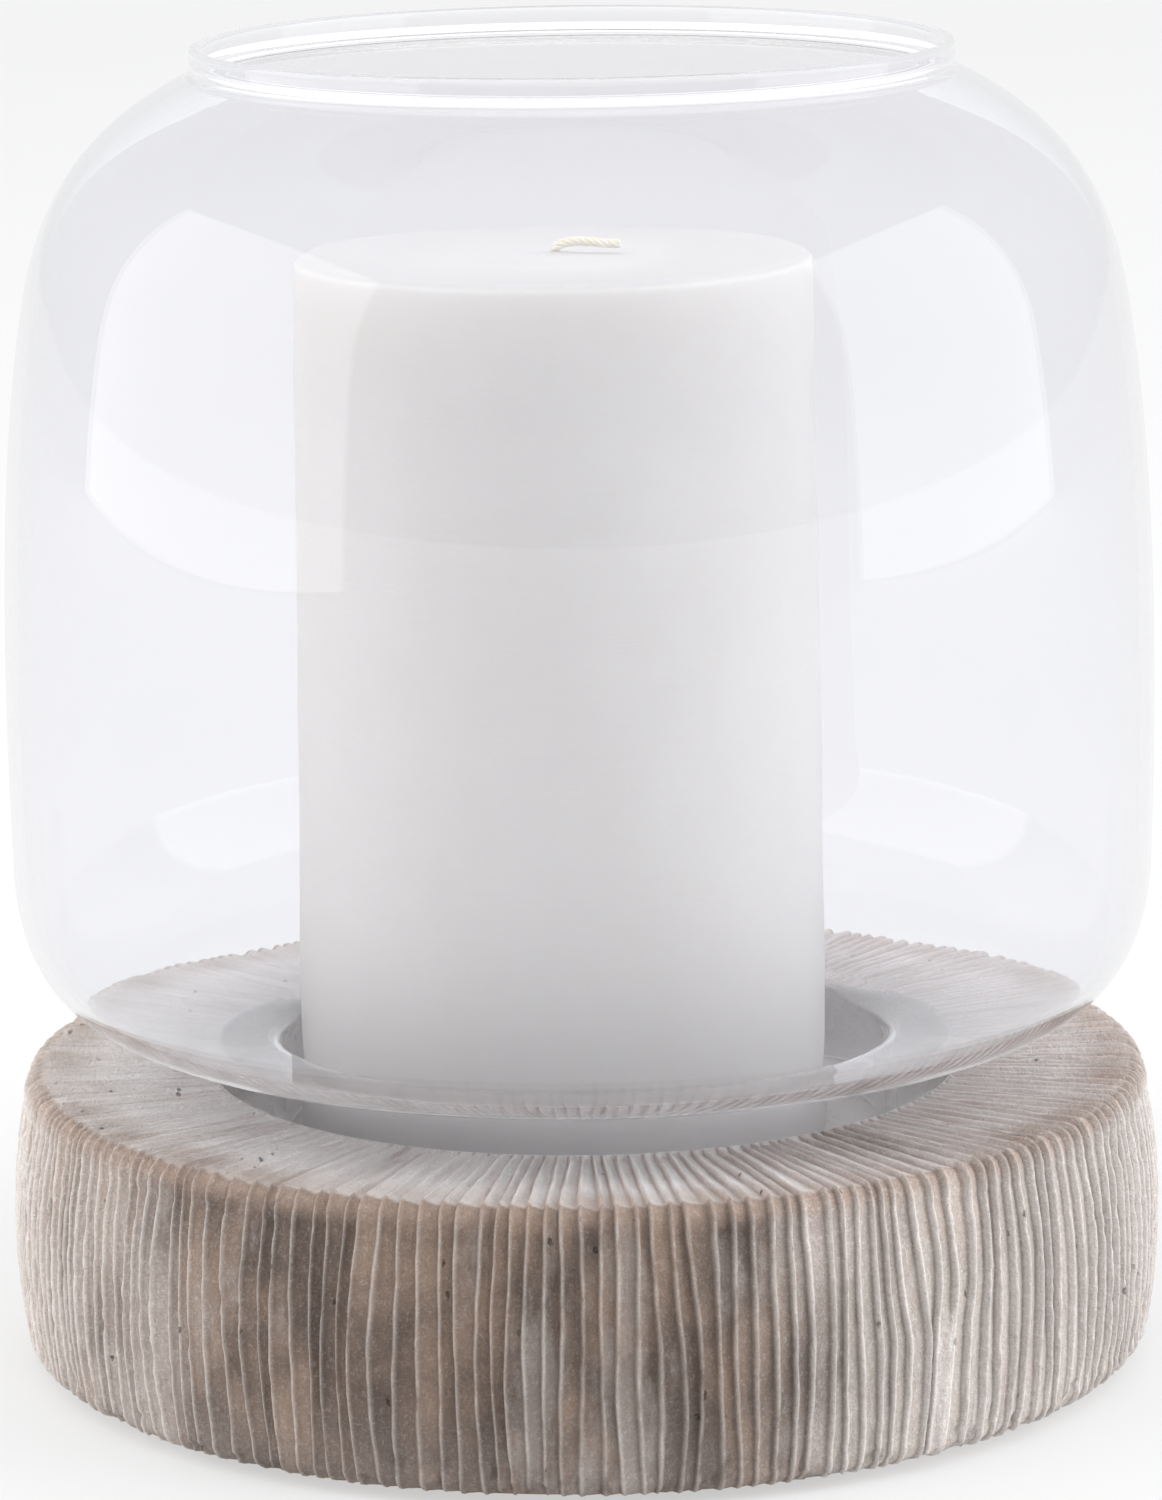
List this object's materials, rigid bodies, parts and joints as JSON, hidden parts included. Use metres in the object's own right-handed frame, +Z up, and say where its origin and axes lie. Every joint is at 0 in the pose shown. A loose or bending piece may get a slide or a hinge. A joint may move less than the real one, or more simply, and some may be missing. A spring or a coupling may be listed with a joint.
{
  "type": "hurricane candle lantern",
  "caption": "Round clear glass hurricane shade with a rolled lip, open at both ends, standing with a pillar candle in the well of a heavy cast base with combed flutes.",
  "frame": {"origin": "middle of the object's footprint, on the surface that the felt pads rest on", "axes": "+Z up along the common axis of the shade and the base; the bent end of the wick points to +X; -Y is the front"},
  "size_m": [0.217, 0.217, 0.246],
  "materials": {
    "cast_body": "matt, combed and lime washed",
    "clear_glass": "clear, fire polished",
    "candle_wax": "smooth wax, soft sheen",
    "tinned_steel": "stamped, tinned",
    "wick_cotton": "braided cotton, waxed",
    "felt": "pressed felt"
  },
  "bodies": {
    "base": {"base": "cast_body", "foot_pad_1": "felt", "foot_pad_2": "felt", "foot_pad_3": "felt", "foot_pad_4": "felt"},
    "shade": {"glass_shade": "clear_glass"},
    "candle": {"candle": "candle_wax", "wick_sustainer": "tinned_steel", "wick": "wick_cotton"}
  },
  "joints": [
    {"name": "shade_lift", "type": "slide", "parent": "base", "child": "shade", "axis": [0, 0, 1], "range_m": [0, 0.19]},
    {"name": "candle_lift", "type": "slide", "parent": "base", "child": "candle", "axis": [0, 0, 1], "range_m": [0, 0.215]}
  ]
}
